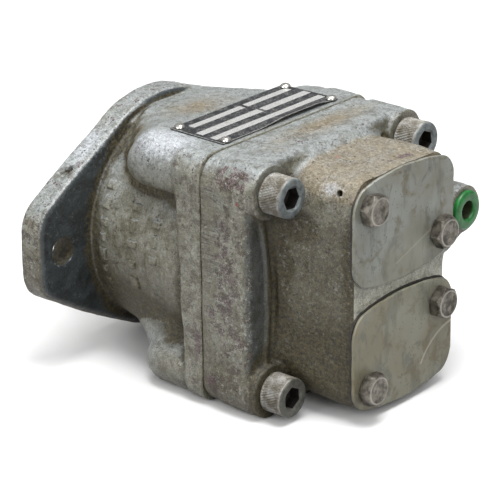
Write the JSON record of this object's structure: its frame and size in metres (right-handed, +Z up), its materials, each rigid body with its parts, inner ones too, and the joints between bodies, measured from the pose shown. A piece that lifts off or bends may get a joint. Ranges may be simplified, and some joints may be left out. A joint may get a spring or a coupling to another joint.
{
  "type": "hydraulic gear pump",
  "caption": "Cast-iron internal gear pump with a two-bolt mounting flange, a keyed shaft, rear ports closed by blanking plates, a case drain and a name plate",
  "frame": {"origin": "centre of the bounding box in plan, at the level of the flat underside, so the pump stands on z = 0", "axes": "+X along the drive shaft, from its free end to the ports; +Z up, towards the name plate; the shaft axis is the line y = 0, z = 0.062"},
  "size_m": [0.2092, 0.176, 0.1268],
  "materials": {
    "painted_cast_iron": "worn grey paint on rough cast iron",
    "painted_cover_iron": "worn grey paint on rough cast iron, stained brown",
    "socket_screw_steel": "knurled black-oxide steel, worn pale and dirty",
    "dark_bolt_steel": "dark oxide steel with bright worn chamfers",
    "painted_plate_steel": "thin grey-green paint over pressed steel, rusty at the edges",
    "name_plate_black": "black enamel on thin sheet",
    "bright_steel": "bright plated steel",
    "ground_steel": "ground steel",
    "gear_steel": "hardened and ground steel",
    "bearing_bronze": "machined bronze",
    "black_rubber": "matt black nitrile rubber",
    "green_plastic": "glossy green moulded plastic"
  },
  "bodies": {
    "casing": {"cover_o_ring": "black_rubber", "cover_screw_1": "socket_screw_steel", "cover_screw_2": "socket_screw_steel", "cover_screw_3": "socket_screw_steel", "cover_screw_4": "socket_screw_steel", "crescent_filler": "ground_steel", "crescent_pin": "ground_steel", "dowel_pin_1": "ground_steel", "dowel_pin_2": "ground_steel", "drain_plug": "green_plastic", "drive_screw_1": "bright_steel", "drive_screw_2": "bright_steel", "drive_screw_3": "bright_steel", "drive_screw_4": "bright_steel", "front_bush": "bearing_bronze", "front_wear_plate": "bearing_bronze", "housing": "painted_cast_iron", "lower_port_gasket": "black_rubber", "lower_port_plate": "painted_plate_steel", "name_plate": "name_plate_black", "plate_bolt_1": "dark_bolt_steel", "plate_bolt_2": "dark_bolt_steel", "plate_bolt_3": "dark_bolt_steel", "plate_bolt_4": "dark_bolt_steel", "rear_bush": "bearing_bronze", "rear_cover": "painted_cover_iron", "rear_wear_plate": "bearing_bronze", "retaining_ring": "bright_steel", "shaft_seal": "black_rubber", "upper_port_gasket": "black_rubber", "upper_port_plate": "painted_plate_steel"},
    "rotor": {"drive_shaft": "ground_steel", "shaft_key": "ground_steel", "pinion_gear": "gear_steel", "pinion_key": "ground_steel"},
    "ring": {"ring_gear": "gear_steel"}
  },
  "joints": [
    {"name": "drive_shaft_spin", "type": "hinge", "parent": "casing", "child": "rotor", "pos_m": [0, 0, 0.062], "axis": [1, 0, 0], "continuous": true},
    {"name": "ring_gear_spin", "type": "hinge", "parent": "casing", "child": "ring", "pos_m": [0, 0.00975, 0.062], "axis": [1, 0, 0], "continuous": true}
  ],
  "couplings": [
    {"joint": "ring_gear_spin", "follows": "drive_shaft_spin", "ratio": 0.68421}
  ]
}
